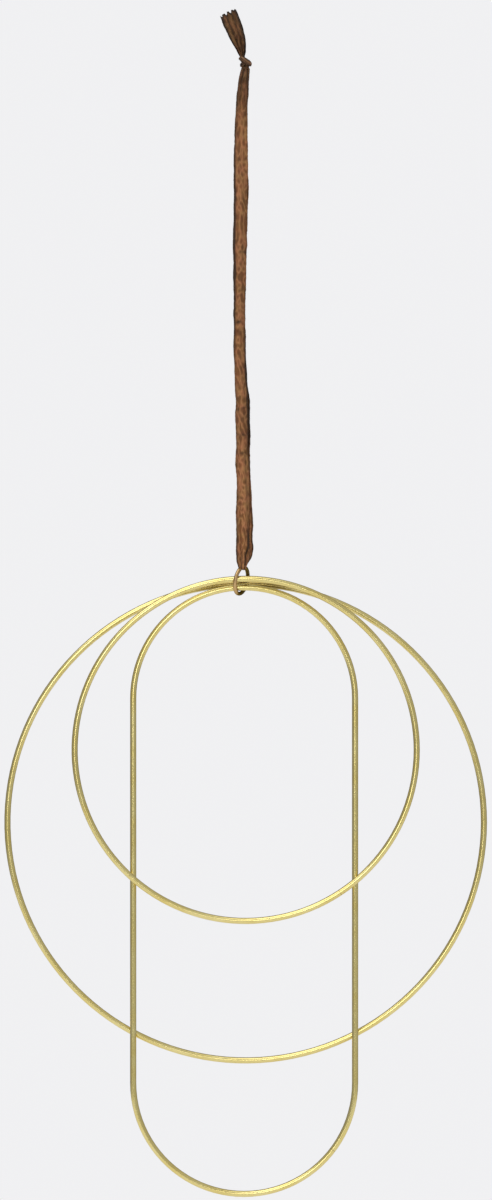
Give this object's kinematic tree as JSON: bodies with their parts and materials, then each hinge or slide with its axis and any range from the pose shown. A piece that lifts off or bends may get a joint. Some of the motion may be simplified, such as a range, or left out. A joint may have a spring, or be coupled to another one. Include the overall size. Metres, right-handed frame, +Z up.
{
  "type": "hanging wire hoop ornament",
  "caption": "Flat hanging ornament: closed brass wire hoops, round and capsule shaped, nested in one jump ring on a knotted, doubled ribbon.",
  "frame": {"origin": "where a hook or peg bears: the top of the eye between the ribbon's two legs, on the knot's underside", "axes": "+Z up along the hanging ribbon, +X to the viewer's right, -Y towards the viewer, with the hoops' planes square to Y"},
  "size_m": [0.25, 0.0146, 0.615],
  "materials": {
    "hoop_wire": "satin",
    "ring_wire": "satin",
    "ribbon": "matte"
  },
  "bodies": {
    "ribbon": {"ribbon_knot": "ribbon", "ribbon_front_tail": "ribbon", "ribbon_back_tail": "ribbon", "ribbon_front_bow": "ribbon", "ribbon_back_bow": "ribbon", "ribbon_front_leg": "ribbon", "ribbon_back_leg": "ribbon"},
    "bight": {"ribbon_bight": "ribbon"},
    "ring": {"jump_ring": "ring_wire"},
    "small": {"small_hoop": "hoop_wire"},
    "capsule": {"capsule_hoop": "hoop_wire"},
    "large": {"large_hoop": "hoop_wire"}
  },
  "joints": [
    {"name": "ribbon_twist", "type": "hinge", "parent": "ribbon", "child": "bight", "pos_m": [-0.0008, 0.0002, -0.2443], "axis": [0, 0, 1], "range_deg": [-90, 90]},
    {"name": "ring_swing", "type": "hinge", "parent": "bight", "child": "ring", "pos_m": [-0.0008, 0.0002, -0.2574], "axis": [-0.4288, -0.8988, 0.0911], "range_deg": [-25, 25]},
    {"name": "small_hoop_swing", "type": "hinge", "parent": "ring", "child": "small", "pos_m": [-0.003, -0.00335, -0.26362], "axis": [0, -1, 0], "range_deg": [-15, 15]},
    {"name": "capsule_hoop_swing", "type": "hinge", "parent": "ring", "child": "capsule", "pos_m": [-0.003, 0, -0.26972], "axis": [0, -1, 0], "range_deg": [-15, 15]},
    {"name": "large_hoop_swing", "type": "hinge", "parent": "ring", "child": "large", "pos_m": [0, 0.00335, -0.26658], "axis": [0, -1, 0], "range_deg": [-15, 15]}
  ]
}
